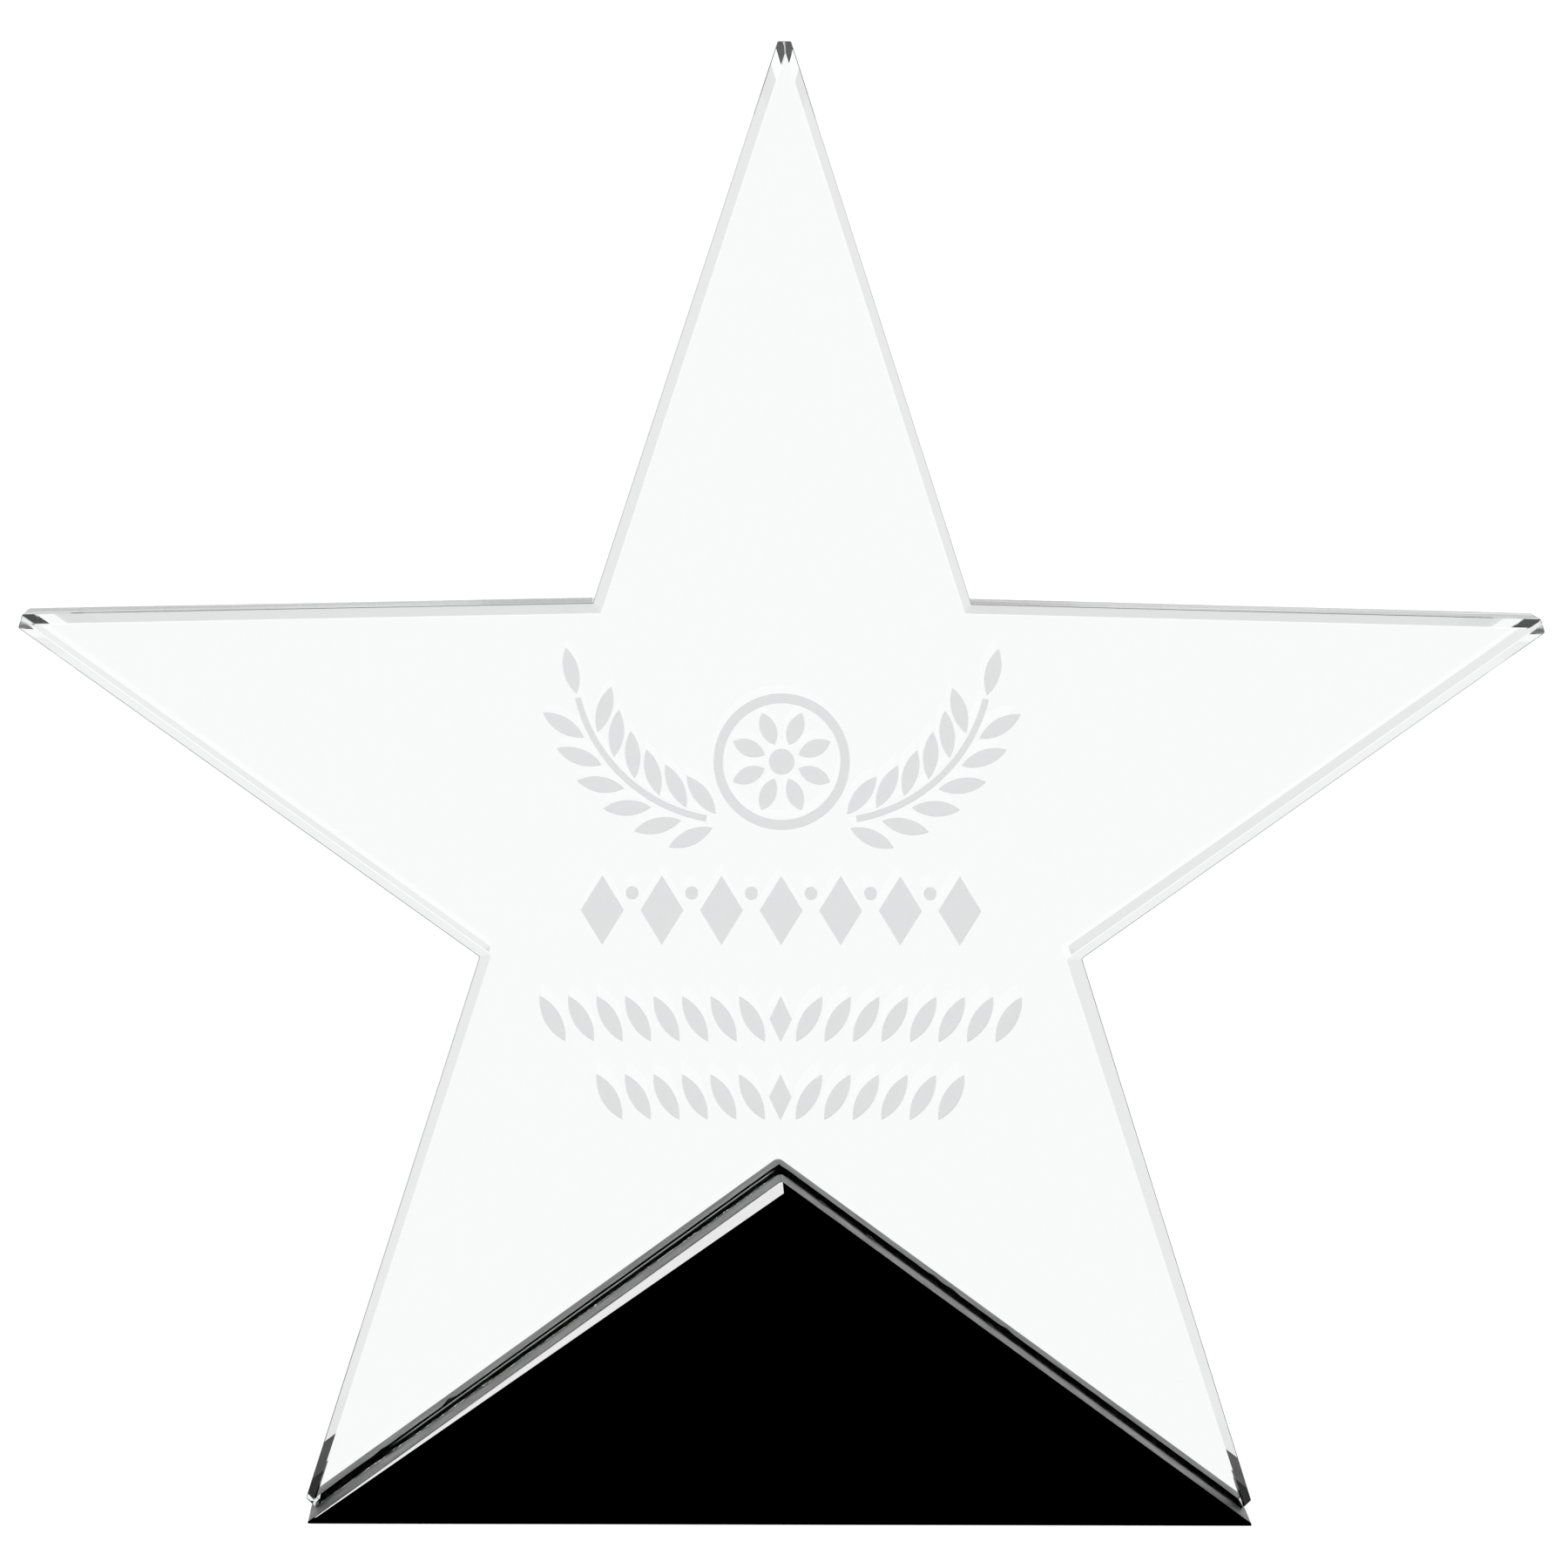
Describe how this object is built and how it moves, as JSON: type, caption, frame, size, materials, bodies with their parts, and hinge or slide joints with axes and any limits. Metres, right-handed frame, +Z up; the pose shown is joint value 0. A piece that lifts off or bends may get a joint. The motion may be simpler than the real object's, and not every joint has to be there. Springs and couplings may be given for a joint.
{
  "type": "crystal star award",
  "caption": "Free-standing clear crystal star trophy on a black crystal prism base, with a letter-free frosted engraving, for display on a shelf or desk.",
  "frame": {"origin": "centre of the base's underside, on the surface the award stands on", "axes": "+Z up, -Y out of the engraved front face, +X to the right as seen from the front"},
  "size_m": [0.1792, 0.0382, 0.1732],
  "materials": {
    "clear_crystal": "polished clear optical crystal, frosted where engraved",
    "black_crystal": "polished opaque black crystal",
    "clear_adhesive": "cured clear adhesive film"
  },
  "bodies": {
    "root": {"crystal_star": "clear_crystal", "black_base": "black_crystal", "adhesive_film_left": "clear_adhesive", "adhesive_film_right": "clear_adhesive"}
  },
  "joints": []
}
